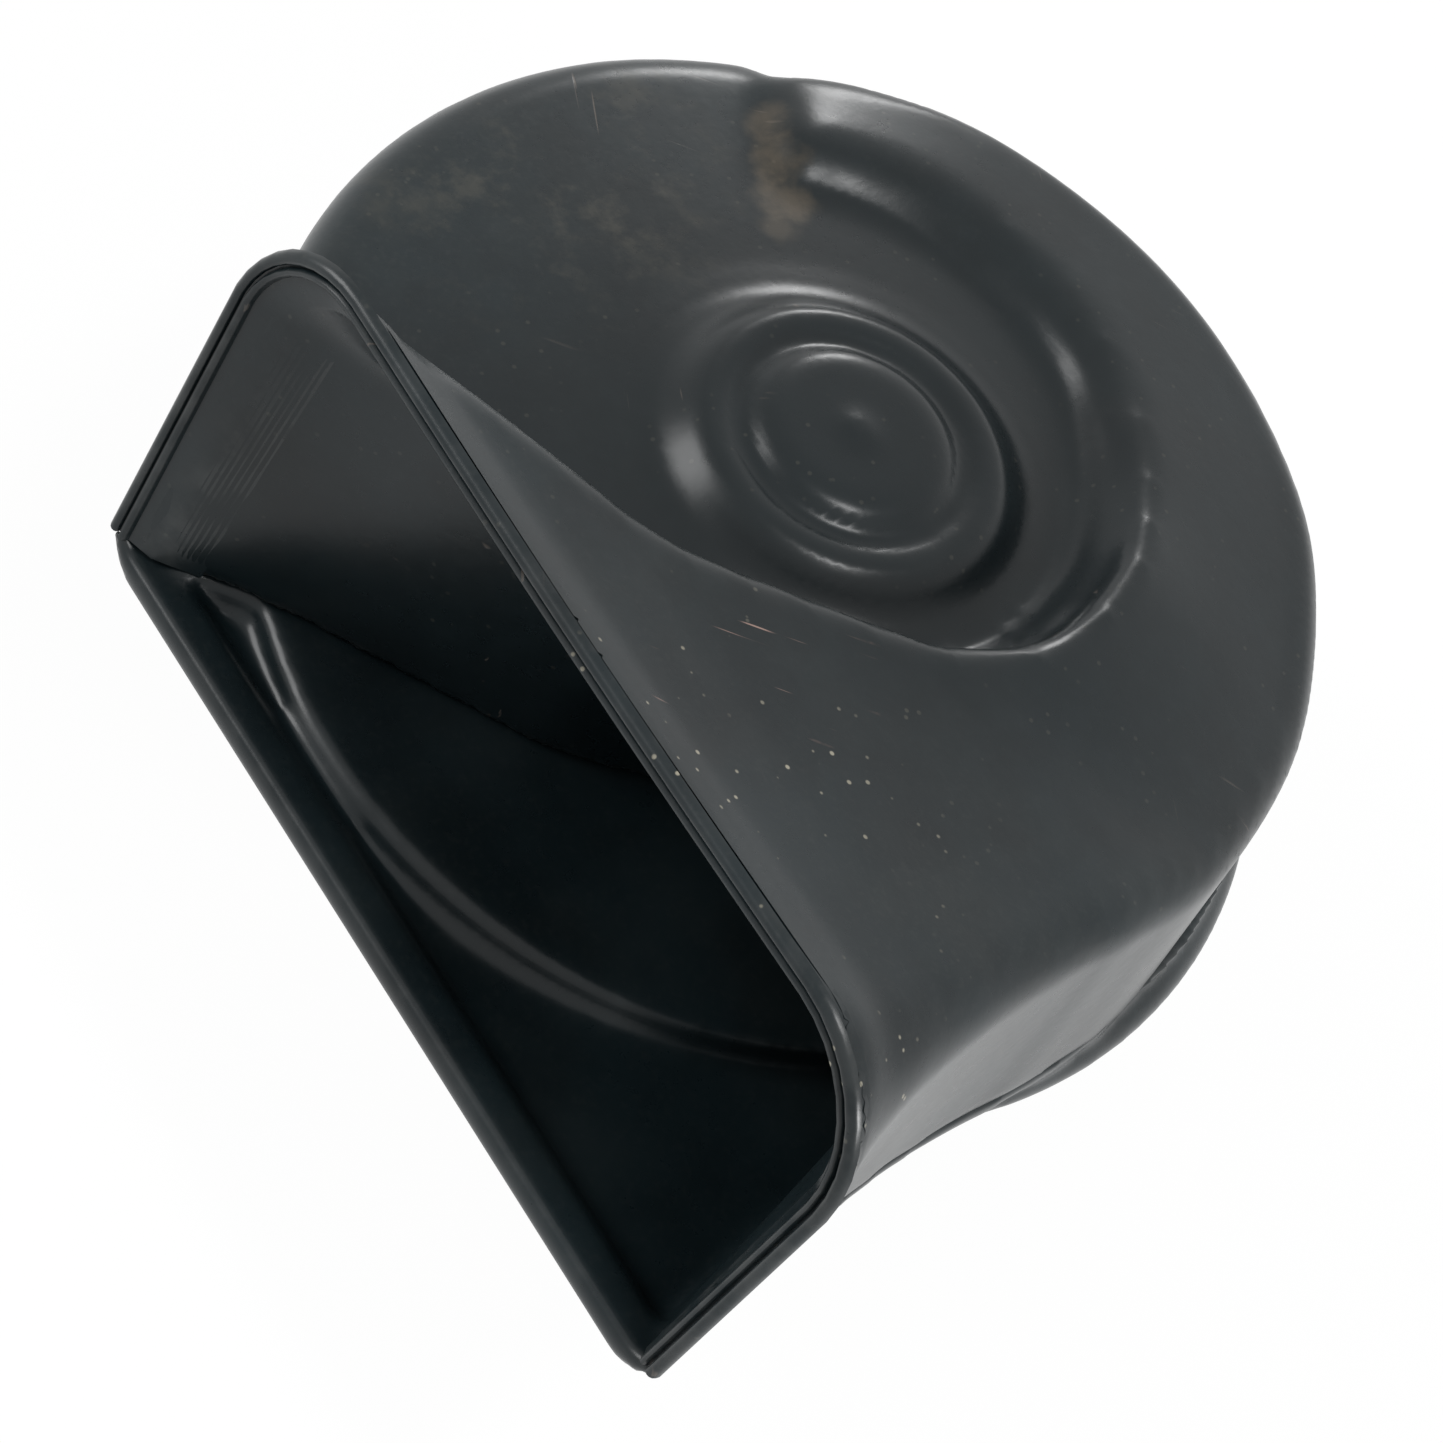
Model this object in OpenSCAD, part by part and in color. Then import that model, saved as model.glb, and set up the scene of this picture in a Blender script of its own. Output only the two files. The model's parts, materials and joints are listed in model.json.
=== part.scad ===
// Electric snail horn: a black moulded trumpet crimped to a sheet steel pot.
// Inside this file x points right, y up and z out of the front face, with the
// pot's axis at x = y = 0 and the flat round the front button at z = 0.
// The last module, placed(), turns all of it so that the mouth faces down (-Z),
// the front faces -Y and the origin is the centre of the bracket's fixing hole.

/* [Trumpet] */
// moulded wall
wall_t = 2.0; // [1.6:0.1:2.6]
// outer radius of the snail at its front edge
snail_r = 42.6; // [40:0.1:46]
// lean of the snail's side wall, over its whole height
snail_draft = 1.0; // [0.5:0.1:3]
// height of the front lip of the mouth above the flat
lip_z = 18.4; // [14:0.1:22]
// how far the front lip hangs below the axis
lip_drop = 41.5; // [40:0.5:48]
// how much the rear of the mouth hangs lower, for each mm of depth
mouth_lean = 0.168; // [0:0.002:0.3]
// left end of the mouth
mouth_left = 26.6; // [22:0.1:32]
// right end of the mouth
mouth_right = 55; // [50:0.1:60]
// radius of the mouth's front right corner
mouth_corner = 12.3; // [6:0.1:16]
// radius of the mouth's front left corner
left_corner = 9.5; // [6:0.1:14]
// radius of the mouth's two rear corners
rear_corner = 5; // [2:0.5:6]
// how much the mouth narrows at its rear left
mouth_taper = 2.1; // [1:0.1:3]
// level of the joint between the two trumpet halves
joint_z = -17; // [-20:0.5:-14]
// slope of the flat in front of the button, drop over 22 mm
floor_fall = 2.3; // [0:0.1:4]

/* [Front button] */
// radius of the flat button
button_r = 7.6; // [6:0.1:9]
// height of the button
button_h = 4.4; // [3:0.1:6]
// radius of the ridge round the button
crest_r = 11.4; // [10.5:0.1:13]

/* [Rear shell] */
// radius of the drum seen through the mouth
drum_r = 42; // [40:0.1:43]
// depth of the pocket between the drum and the rear lip
pocket_deep = 2.6; // [2:0.1:3]
// radius of the throat
throat_r = 8; // [6:0.5:10]

// outer radius of the rounded skirt behind the snail
skirt_r = 45.9; // [44.5:0.1:47]
// rounding of the skirt
skirt_round = 2.9; // [2:0.1:3.5]
// sideways and upward offset of the skirt from the axis
skirt_off = 0.6; // [0:0.1:1]

/* [Pot] */
// outer radius of the crimped ring
crimp_r = 42.2; // [40:0.1:43]
// sheet of the crimped ring
crimp_t = 0.6; // [0.5:0.1:0.7]
// outer radius of the pot
pot_r = 34; // [33:0.5:36]
// sheet of the pot
pot_t = 1.2; // [1:0.1:1.5]
// level of the pot's back
pot_back = -41.5; // [-46:0.1:-41]

/* [Drive] */
// radius of the armature and of the pole
pole_r = 6; // [5:0.1:7]
// gap between armature and pole
air_gap = 0.9; // [0.6:0.1:1.2]

/* [Bracket] */
// strip thickness
bracket_t = 2.5; // [2:0.1:3]
// strip width
bracket_w = 20; // [16:1:26]
// distance of the fixing hole from the axis
hole_y = 58; // [54:1:59]
// fixing hole, for an 8 mm bolt
hole_r = 4.25; // [4.1:0.05:4.5]

/* [Hidden] */
$fn = 96;

// levels of the stack behind the trumpet, front to rear
chamber_z = joint_z - wall_t;
flange_z = -22;
flange_t = 1;
gasket_t = 0.3;
sheet_t = 0.3;
gasket_z = flange_z - flange_t;
diaphragm_z = gasket_z - gasket_t;
rear_gasket_z = diaphragm_z - sheet_t;
pot_flange_z = rear_gasket_z - gasket_t;
pot_flange_t = 0.9;
seat_w = 5.6;
seat_r = crimp_r - seat_w;
stack_r = crimp_r - crimp_t - 0.1;
pot_floor = pot_back + pot_t;

// Piecewise cubic through the rows of a table, value in column 0.
function row_at(t, s) = len([for (r = t) if (r[0] <= s) 1]) - 1;
function slope(t, i) = let (a = t[max(i - 1, 0)], b = t[min(i + 1, len(t) - 1)])
    (b - a) / (b[0] - a[0]);
function curve(t, s) = let (i = min(row_at(t, s), len(t) - 2), d = t[i + 1][0] - t[i][0],
    u = (s - t[i][0]) / d)
    t[i] * (2*u*u*u - 3*u*u + 1) + slope(t, i) * d * (u*u*u - 2*u*u + u)
    + t[i + 1] * (3*u*u - 2*u*u*u) + slope(t, i + 1) * d * (u*u*u - u*u);
function polar(r, a) = [r * cos(a), r * sin(a)];

// The sound duct in stations, from the step on the left round to the mouth.
// Inner line: the ridge side of the duct, as radius and angle about the axis.
// s, x, y, rounding of the edge, level of the edge, foot lies further in by
ir = 1.1;
INNER = [
    for (k = [[0, 32, 155.5, 1.2, -2.3, 0.6], [1, 32, 151.5, 1.8, 2.4, 1.2],
              [2, 31.8, 141, 2, 2.7, 1.6], [3, 30.8, 125, 2, 3.1, 1.8],
              [4, 29, 107, 2, 3.6, 2], [5, 27.5, 90, 2, 4.2, 2],
              [6, 25.3, 71.6, 2, 5.2, 2], [7, 24, 55.6, 2, 6.1, 2],
              [8, 23.3, 33, 2, 7.6, 2], [9, 23.2, 5, 2, 8.6, 2],
              [10, 22.4, -18.8, 2, 9.6, 2], [11, 21.8, -32, 2, 10.2, 2],
              [12, 22.5, -53.7, 2, 11.3, 2], [13, 25.8, -71.7, 2.1, 12.6, 2],
              [14, 28.1, -81.2, 2.3, 13.4, 2], [15, 30.8, -92.2, 2.6, 14.4, 1.8]])
        concat([k[0]], polar(k[1] - ir, k[2]), [k[3], k[4], k[5]]),
    [16, -7.6, -32.9, 3.4, 15.5, 1.4],
    [17, -13.8, -35.4, 5.6, 16.6, 0.7],
    [18, -20.3, -38.3, 7.4, 17.6, -0.4],
    [19, -mouth_left, -lip_drop, left_corner, lip_z, -mouth_taper]
];
// Outer line: the side wall of the duct.
OUTER = [
    for (k = [[0, snail_r - 1, 155.5, 2, -3.2, 1.9], [1, snail_r - 0.8, 151.5, 2.6, 0.5, snail_draft],
              [2, snail_r - 0.3, 141, 3, 1.5, snail_draft], [3, snail_r, 125, 3, 1.9, snail_draft],
              [4, snail_r, 107, 3, 1.9, snail_draft], [5, snail_r, 90, 3, 1.9, snail_draft],
              [6, snail_r, 71.6, 3, 1.9, snail_draft], [7, snail_r, 55.6, 3, 1.9, snail_draft],
              [8, snail_r + 0.2, 33, 3, 2.3, snail_draft], [9, snail_r + 1.6, 9, 3, 5, 1]])
        concat([k[0]], polar(k[1], k[2]), [k[3], k[4], k[5]]),
    [10, 45.9, -5, 3.2, 8, 0.7],
    [11, 46.5, -12, 3.4, 9.5, 0.4],
    [12, 47.4, -19, 4, 11.1, 0.1],
    [13, 48.6, -25.2, 4.6, 12.7, 0],
    [14, 49.5, -29.2, 5.2, 13.8, -0.2],
    [15, 50.4, -32.4, 6, 14.9, -0.3],
    [16, 51.4, -35.2, 7.2, 15.9, -0.4],
    [17, 52.6, -37.8, 8.8, 16.9, -0.5],
    [18, 53.9, -39.9, 10.6, 17.7, -0.5],
    [19, mouth_right, -lip_drop, mouth_corner, lip_z, -mouth_taper / 3]
];
LAST = len(INNER) - 1;

function xy(r) = [r[1], r[2]];
function unit(v) = v / norm(v);
function toward_mouth(s) = s < LAST - 3 ? 0 : pow((s - LAST + 3) / 3, 2);
// unit vector across the wall, from the inner or outer line into the duct
function across(t, s, side) = let (d = xy(curve(t, min(s + 0.05, LAST)))
    - xy(curve(t, max(s - 0.05, 0))), w = toward_mouth(s))
    unit((1 - w) * side * unit([-d[1], d[0]]) + w * [side, 0]);
function lean(s) = mouth_lean * (s < LAST - 5 ? 0 : pow((s - LAST + 5) / 5, 1.4));

// One wall with its rounded edge: points from the foot up to the flat top,
// each [x, y, z]; e is how far the face lies inside the outer face.
ARC = [0, 22.5, 45, 67.5, 90];
function edge(t, s, side, e) = let (r = curve(t, s), n = across(t, s, side),
    rho = max(r[3] - e, 0.5), p = xy(r) + n * e, top = r[4] - e, k = lean(s))
    concat([leaned(p - n * r[5], joint_z, r[4], k)],
        [for (a = ARC) leaned(p + n * rho * (1 - cos(a)), top - rho + rho * sin(a), r[4], k)]);
function leaned(p, z, top, k) = [p[0], p[1] - k * (top - z), z];
function flat(a, b, sag) = [for (v = [0.25, 0.5, 0.75]) a + (b - a) * v
    - [0, 0, sag * sin(180 * v)]];
function section(s, e) = let (a = edge(INNER, s, 1, e), b = edge(OUTER, s, -1, e),
    m = len(a) - 1)
    concat(a, flat(a[m], b[m], s > 8 ? 0.5 : 0), [for (i = [m:-1:0]) b[i]]);

STATIONS = concat([for (s = [0:1/3:LAST - 0.01]) [s, 0, 0]],
    [[LAST, 0, 0.7], [LAST, 0.45, 0]]);
PATH = 15;
function duct_points() = [for (q = STATIONS)
    each concat([for (p = section(q[0], q[1])) p + [0, q[2], 0]],
        [for (p = section(q[0], wall_t - q[1])) p + [0, q[2], 0]])];
function at(i, j) = i * 2 * PATH + j;
function next(j) = j < PATH ? (j < PATH - 1 ? j + 1 : 2 * PATH - 1) : (j > PATH ? j - 1 : 0);
function tri(a, b, c, d) = [[a, b, c], [a, c, d]];
function duct_faces() = let (m = len(STATIONS) - 1) concat(
    [for (i = [0:m - 1]) for (j = [0:2 * PATH - 1])
        each tri(at(i, j), at(i, next(j)), at(i + 1, next(j)), at(i + 1, j))],
    [for (j = [0:PATH - 2]) each tri(at(0, j + 1), at(0, j), at(0, j + PATH), at(0, j + 1 + PATH))],
    [for (j = [0:PATH - 2]) each tri(at(m, j), at(m, j + 1), at(m, j + 1 + PATH), at(m, j + PATH))]);
module duct() polyhedron(duct_points(), duct_faces());

// Foot of a wall at the joint, at station s and e mm inside its outer face.
function foot(t, s, side, e) = let (p = edge(t, s, side, e)[0]) [p[0], p[1]];

// The front's flat, button and the snail's first turn, left of the duct.
turn_from = 151.5;
turn_to = 242;
floor_r = snail_r - 1.3;
function floor_z(r) = -floor_fall * max(r - 17, 0) / 22.5;
module flat_profile() polygon([
    [0, button_h + 0.5], [0.9, button_h + 0.5], [1.2, button_h + 0.1],
    [button_r - 1, button_h], [button_r - 0.3, button_h - 0.35],
    [button_r + 0.2, button_h - 1.2], [button_r + 0.7, 2], [button_r + 1.3, 1.5],
    [crest_r - 1.7, 1.6], [crest_r - 1.1, 2.4], [crest_r - 0.6, 3.2], [crest_r, 3.5],
    [crest_r + 0.7, 3.2], [crest_r + 1.8, 2], [crest_r + 3.2, 0.9],
    [crest_r + 5.1, 0.15], [18, 0], [floor_r, floor_z(floor_r)],
    [floor_r, floor_z(floor_r) - 2.2], [18, -2.2], [14, -1.3], [crest_r, 1.2],
    [button_r + 1.2, -0.6], [button_r - 1.4, button_h - 2], [0, button_h - 2]]);
module flat_outline() polygon(concat(
    [for (s = [0:1/3:17.67]) let (p = curve(INNER, s)) xy(p) + across(INNER, s, 1) * 1],
    [for (a = [240:-4:156]) polar(floor_r, a)]));
edge_r = 2.8;
edge_at = snail_r - edge_r + 0.4;
module turn_profile() polygon(concat(
    [for (a = [90:-15:0]) [edge_at + edge_r * cos(a), floor_z(edge_at) - edge_r * (1 - sin(a))]],
    [[snail_r + snail_draft, joint_z], [snail_r + snail_draft - wall_t, joint_z],
     [edge_at + edge_r - wall_t - 0.4, floor_z(edge_at) - edge_r - 1.4],
     [edge_at - 0.8, floor_z(edge_at) - wall_t - 1]]));

module trumpet_front_shell() color([0.09, 0.10, 0.12]) placed() {
    duct();
    intersection() {
        rotate_extrude() flat_profile();
        translate([0, 0, joint_z]) linear_extrude(30) flat_outline();
    }
    rotate([0, 0, turn_from]) rotate_extrude(angle = turn_to - turn_from) turn_profile();
}

// The rear half: plate with the throat, tray under the mouth, seat for the pot.
tray_from = 8;
tray_left = 17.2;
tray_floor = joint_z - pocket_deep;
tray_bottom = tray_floor - 1.5;
lip_rise = 1.8;
tray_foot = 1;
skirt_in = crimp_r + 1.1;
skirt_mid = -21.4;
function tray_line(e) = concat(
    [for (s = [tray_from:0.4:LAST - 0.01]) foot(OUTER, s, -1, e)],
    [foot(OUTER, LAST, -1, e), foot(INNER, LAST, 1, e)],
    [for (s = [LAST - 0.4:-0.4:tray_left]) foot(INNER, s, 1, e)]);
module slab(from, to) translate([0, 0, from]) linear_extrude(to - from) children();
module disc(r, from, to) translate([0, 0, from]) cylinder(r = r, h = to - from);
module ring(r_in, r_out, from, to) difference() {
    disc(r_out, from, to);
    disc(r_in, from - 1, to + 1);
}
mouth_y = -lip_drop - mouth_lean * (lip_z - joint_z);
module trumpet_rear_shell() color([0.08, 0.09, 0.11]) placed() difference() {
    union() {
        slab(tray_bottom + 2, joint_z) polygon(tray_line(0));
        slab(tray_bottom, tray_bottom + 2) polygon(tray_line(tray_foot));
        disc(snail_r + snail_draft, chamber_z, joint_z);
        disc(lip_in - 0.4, flange_z, chamber_z);
        disc(stack_r, gasket_z, flange_z);
        translate([skirt_off, skirt_off, 0]) rotate_extrude() polygon(concat(
            [[skirt_in, joint_z], [skirt_in + 1, joint_z]],
            [for (a = [75:-15:-75]) [skirt_r - skirt_round + skirt_round * cos(a),
                skirt_mid + skirt_round * sin(a)]],
            [[skirt_in, skirt_mid - skirt_round]]));
    }
    difference() {
        slab(tray_floor, joint_z + 1) polygon(tray_line(wall_t));
        disc(drum_r, tray_floor - 1, joint_z + 2);
        translate([0, mouth_y, tray_floor]) rotate([0, 90, 0]) translate([0, 0, -60])
            linear_extrude(130) polygon([[1, -2], [1, 5.4], [0, 5.2], [-lip_rise, 3.6],
                [-lip_rise - 0.3, 3], [-lip_rise - 0.3, -2]]);
    }
    // room above the diaphragm, and the throat
    disc(seat_r, gasket_z - 1, chamber_z);
    disc(throat_r, gasket_z - 2, joint_z + 1);
    // the rear lip's underside comes up towards the mouth
    translate([0, mouth_y, tray_bottom]) rotate([0, 90, 0]) translate([0, 0, -60])
        linear_extrude(130) polygon([[1, -2], [1, 4.2], [0, 4], [-1.1, 0.4], [-1.5, -2]]);
    // rounded rear corners of the mouth
    for (k = [[-mouth_left + mouth_taper, 1], [mouth_right - mouth_taper / 3, -1]])
        translate([k[0], mouth_y - 1, tray_bottom + 0.9]) rotate([-90, 0, 0]) linear_extrude(9)
            difference() {
                translate([k[1] > 0 ? -2 : -rear_corner, -rear_corner]) square([rear_corner + 2, rear_corner + 4]);
                translate([k[1] * rear_corner, -rear_corner]) circle(r = rear_corner);
            }
    // above the lip the mouth is open
    translate([-mouth_left + mouth_taper + wall_t, mouth_y - 2, tray_floor + lip_rise + 0.3])
        cube([mouth_left + mouth_right - 4 / 3 * mouth_taper - 2 * wall_t, 5.2, 5]);
}

module front_gasket() color([0.05, 0.05, 0.05]) placed()
    ring(seat_r, stack_r, diaphragm_z, gasket_z);
module rear_gasket() color([0.05, 0.05, 0.05]) placed()
    ring(seat_r, stack_r, pot_flange_z, rear_gasket_z);

neck_r = 3;
fold_r = seat_r - 6;
module diaphragm() color([0.6, 0.6, 0.58]) placed() rotate_extrude() polygon([
    [neck_r, diaphragm_z], [fold_r - 4, diaphragm_z], [fold_r - 2, diaphragm_z + 0.9],
    [fold_r + 1, diaphragm_z + 0.9], [fold_r + 3, diaphragm_z], [stack_r, diaphragm_z], [stack_r, rear_gasket_z], [fold_r + 3, rear_gasket_z],
    [fold_r + 1, rear_gasket_z + 0.9], [fold_r - 2, rear_gasket_z + 0.9], [fold_r - 4, rear_gasket_z],
    [neck_r, rear_gasket_z]]);

lip_in = crimp_r - 2.4;
ring_back = pot_flange_z - pot_flange_t;
module crimp_ring() color([0.06, 0.06, 0.07]) placed() rotate_extrude() polygon([
    [lip_in, flange_z], [lip_in, flange_z + crimp_t], [crimp_r - 0.6, flange_z + crimp_t],
    [crimp_r, flange_z + crimp_t - 0.6], [crimp_r, ring_back - crimp_t + 0.6],
    [crimp_r - 0.6, ring_back - crimp_t], [lip_in - 1, ring_back - crimp_t],
    [lip_in - 1, ring_back], [stack_r, ring_back], [stack_r, flange_z]]);

// drive parts on the pot's axis
armature_top = rear_gasket_z;
armature_end = -33;
collar_z = -29;
core_top = armature_end - air_gap;
bobbin_top = -31;
bobbin_r = pot_r - 17.5;
winding_in = pole_r + 1.6;
stud_r = 4;
breaker_a = 225;
module at_breaker(r) rotate([0, 0, breaker_a]) translate([r, 0, 0]) children();
rivet_at = pot_r - 7.5;
contact_at = bobbin_r + 3.3;
rivet_r = 1.6;
screw_r = 2;
plug_x = -19;
plug_y = 13;

module body_pot() color([0.06, 0.06, 0.07]) placed() difference() {
    union() {
        rotate_extrude() polygon([
            [0, pot_back], [pot_r - 3, pot_back], [pot_r - 0.9, pot_back + 0.9],
            [pot_r, pot_back + 3], [pot_r, ring_back - 1.2], [pot_r + 1.2, ring_back],
            [stack_r, ring_back], [stack_r, pot_flange_z], [pot_r + 0.6, pot_flange_z],
            [pot_r - pot_t, ring_back - 0.8], [pot_r - pot_t, pot_floor + 2.6],
            [pot_r - pot_t - 0.7, pot_floor + 0.7], [pot_r - pot_t - 2.6, pot_floor],
            [0, pot_floor]]);
    }
    disc(stud_r + 0.05, pot_back - 1, pot_floor + 1);
    at_breaker(rivet_at) disc(rivet_r, pot_back - 1, pot_floor + 1);
    at_breaker(contact_at) disc(screw_r, pot_back - 1, pot_floor + 1);
    translate([plug_x - 5, plug_y - 4, pot_back - 1]) cube([10, 8, 4]);
}

module pole_core() color([0.62, 0.62, 0.6]) placed() {
    disc(pole_r, pot_floor, core_top);
    disc(stud_r, pot_back - 12, pot_floor);
}
module coil_bobbin() color([0.75, 0.72, 0.6]) placed() difference() {
    disc(bobbin_r, pot_floor, bobbin_top);
    disc(pole_r + 0.4, pot_floor - 1, bobbin_top + 1);
    difference() {
        disc(bobbin_r + 1, pot_floor + 1.2, bobbin_top - 1.2);
        disc(winding_in, pot_floor, bobbin_top);
    }
}
module coil_winding() color([0.72, 0.35, 0.12]) placed()
    ring(winding_in, bobbin_r - 1, pot_floor + 1.2, bobbin_top - 1.2);
module armature() color([0.55, 0.55, 0.55]) placed() {
    disc(neck_r, armature_top, flange_z + 1.4);
    disc(10, collar_z, armature_top);
    disc(pole_r, armature_end, collar_z);
}
washer_t = 0.8;
module armature_washer() color([0.7, 0.7, 0.68]) placed()
    ring(neck_r, 8, diaphragm_z, diaphragm_z + washer_t);
module armature_nut() color([0.7, 0.7, 0.68]) placed() difference() {
    translate([0, 0, diaphragm_z + washer_t]) cylinder(r = 4.6, h = 2.2, $fn = 6);
    disc(neck_r, diaphragm_z, flange_z + 2);
}

// contact breaker beside the coil
strip_z = -33.5;
strip_t = 0.6;
arm_z = -30;
arm_t = 0.4;
base_w = 9;
module stack_block(from, to) at_breaker(0) difference() {
    translate([rivet_at - 4, -base_w / 2, from]) cube([8, base_w, to - from]);
    translate([rivet_at, 0, from - 1]) cylinder(r = rivet_r, h = to - from + 2);
}
module leaf(length, width, z, t) at_breaker(0) difference() {
    translate([rivet_at + 4 - length, -width / 2, z]) cube([length, width, t]);
    translate([rivet_at, 0, z - 1]) cylinder(r = rivet_r, h = t + 2);
}
module breaker_base() color([0.25, 0.12, 0.06]) placed() stack_block(pot_floor, strip_z);
module fixed_contact_strip() color([0.78, 0.6, 0.25]) placed() leaf(rivet_at + 3.2 - bobbin_r, 8, strip_z, strip_t);
module breaker_spacer() color([0.25, 0.12, 0.06]) placed() stack_block(strip_z + strip_t, arm_z);
module spring_arm() color([0.7, 0.66, 0.5]) placed() leaf(rivet_at + 4 - 8.5, 7, arm_z, arm_t);
module fixed_contact() color([0.8, 0.8, 0.82]) placed()
    at_breaker(contact_at) disc(1.9, strip_z + strip_t, arm_z - 1.4);
module moving_contact() color([0.8, 0.8, 0.82]) placed()
    at_breaker(contact_at) disc(1.9, arm_z - 1.4, arm_z);
module breaker_rivet() color([0.8, 0.66, 0.3]) placed() at_breaker(rivet_at) {
    disc(rivet_r, pot_back, arm_z + arm_t);
    disc(2.8, arm_z + arm_t, arm_z + arm_t + 1.1);
    disc(2.8, pot_back - 1.1, pot_back);
}
module adjusting_screw() color([0.6, 0.6, 0.6]) placed() at_breaker(contact_at) difference() {
    union() {
        disc(screw_r, pot_back, strip_z);
        disc(3.5, pot_back - 1.8, pot_back);
    }
    translate([-4, -0.4, pot_back - 2]) cube([8, 0.8, 1.1]);
}
resistor_r = 3.2;
module suppression_resistor() color([0.55, 0.45, 0.3]) placed()
    translate([pot_r - 10, -6, pot_floor + resistor_r]) rotate([-90, 0, 0]) {
        cylinder(r = resistor_r, h = 17);
        translate([0, 0, -3]) cylinder(r = 0.4, h = 23);
    }

// plug socket on the pot's back, and its two blades
blade_w = 6.3;
blade_t = 0.8;
blade_gap = 5.6;
plug_back = pot_back - 15;
module connector_housing() color([0.07, 0.07, 0.08]) placed() difference() {
    union() {
        translate([plug_x - 7, plug_y - 6.5, plug_back]) cube([14, 13, pot_back - plug_back]);
        translate([plug_x - 4.9, plug_y - 3.9, pot_back - 0.5]) cube([9.8, 7.8, pot_t + 1.1]);
    }
    translate([plug_x - 5.6, plug_y - 5.1, plug_back - 1]) cube([11.2, 10.2, 12.6]);
    for (x = [plug_x - blade_gap / 2, plug_x + blade_gap / 2])
        translate([x - blade_t / 2, plug_y - blade_w / 2, plug_back - 1])
            cube([blade_t, blade_w, 20]);
}
module terminal_blades() color([0.75, 0.7, 0.5]) placed()
    for (x = [plug_x - blade_gap / 2, plug_x + blade_gap / 2])
        translate([x - blade_t / 2, plug_y - blade_w / 2, plug_back + 2])
            cube([blade_t, blade_w, pot_floor + 5 - plug_back - 2]);

// bracket on the stud
bracket_z = pot_back - bracket_t;
bracket_low = -13;
module bracket_outline() {
    translate([-bracket_w / 2, bracket_low + 4]) square([bracket_w, hole_y - bracket_low - 4]);
    translate([0, hole_y]) circle(r = bracket_w / 2);
    translate([-bracket_w / 2 + 4, bracket_low]) square([bracket_w - 8, 8]);
    for (x = [-1, 1]) translate([x * (bracket_w / 2 - 4), bracket_low + 4]) circle(r = 4);
}
module mounting_bracket() color([0.5, 0.5, 0.5]) placed() difference() {
    slab(bracket_z, pot_back) bracket_outline();
    disc(stud_r + 0.15, bracket_z - 1, pot_back + 1);
    translate([0, hole_y, 0]) disc(hole_r, bracket_z - 1, pot_back + 1);
}
module spring_washer() color([0.6, 0.6, 0.6]) placed()
    ring(stud_r + 0.2, 7, bracket_z - 1.6, bracket_z);
module stud_nut() color([0.65, 0.65, 0.65]) placed() difference() {
    translate([0, 0, bracket_z - 1.6 - 6.4]) cylinder(r = 13 / sqrt(3), h = 6.4, $fn = 6);
    disc(stud_r, bracket_z - 10, bracket_z);
}

module placed() rotate([90, 0, 0]) translate([0, -hole_y, -bracket_z]) children();

trumpet_front_shell();
trumpet_rear_shell();
front_gasket();
diaphragm();
rear_gasket();
crimp_ring();
body_pot();
pole_core();
coil_bobbin();
coil_winding();
armature();
armature_washer();
armature_nut();
breaker_base();
fixed_contact_strip();
fixed_contact();
breaker_spacer();
spring_arm();
moving_contact();
breaker_rivet();
adjusting_screw();
suppression_resistor();
connector_housing();
terminal_blades();
mounting_bracket();
spring_washer();
stud_nut();
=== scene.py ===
# Looks of the snail horn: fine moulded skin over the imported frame, materials, light and camera.
import json
import math

import bmesh
import bpy
import numpy as np
from mathutils import Matrix, Vector


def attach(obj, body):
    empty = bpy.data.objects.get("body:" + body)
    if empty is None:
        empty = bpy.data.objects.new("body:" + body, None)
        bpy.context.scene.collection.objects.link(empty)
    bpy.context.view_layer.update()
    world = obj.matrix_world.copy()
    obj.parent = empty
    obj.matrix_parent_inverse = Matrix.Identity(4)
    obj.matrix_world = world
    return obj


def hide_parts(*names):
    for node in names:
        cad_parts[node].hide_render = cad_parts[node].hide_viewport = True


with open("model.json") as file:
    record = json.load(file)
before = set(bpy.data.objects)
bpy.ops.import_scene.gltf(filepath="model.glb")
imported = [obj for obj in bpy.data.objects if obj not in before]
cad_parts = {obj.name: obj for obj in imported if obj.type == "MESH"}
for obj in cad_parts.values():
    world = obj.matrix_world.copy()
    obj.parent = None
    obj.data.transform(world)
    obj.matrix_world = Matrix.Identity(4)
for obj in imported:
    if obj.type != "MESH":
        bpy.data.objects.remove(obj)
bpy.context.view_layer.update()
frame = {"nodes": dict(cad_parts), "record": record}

# Sizes of the horn, in mm. x right, y up, z out of the front, axis at x = y = 0.
WALL = 2.0
SNAIL_R, SNAIL_DRAFT = 42.6, 1.0
LIP_Z, LIP_DROP, MOUTH_LEAN = 18.4, 41.5, 0.168
MOUTH_LEFT, MOUTH_RIGHT = 26.6, 55.0
MOUTH_CORNER, LEFT_CORNER, MOUTH_TAPER = 12.3, 9.5, 2.1
JOINT_Z, FLOOR_FALL, LIP_PACE = -17.0, 2.3, 1.75
BUTTON_R, BUTTON_H, CREST_R = 7.6, 4.4, 11.4
HOLE_Y, BRACKET_Z, DRUM_R = 58.0, -44.0, 42.0

# Grain of the remeshed skins and thickness of the flat, in metres.
FRONT_GRAIN, REAR_GRAIN, FLAT_WALL = 0.0008, 0.00055, 0.0016
WELD = 2e-6


def in_frame(p):
    """A point of the horn's own millimetres, in metres of the shared frame."""
    return (p[0] / 1000, (-p[2] + BRACKET_Z) / 1000, (p[1] - HOLE_Y) / 1000)


# ---------------------------------------------------------------- duct lines

def round_axis(r, degrees):
    return [r * math.cos(math.radians(degrees)), r * math.sin(math.radians(degrees))]


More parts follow.
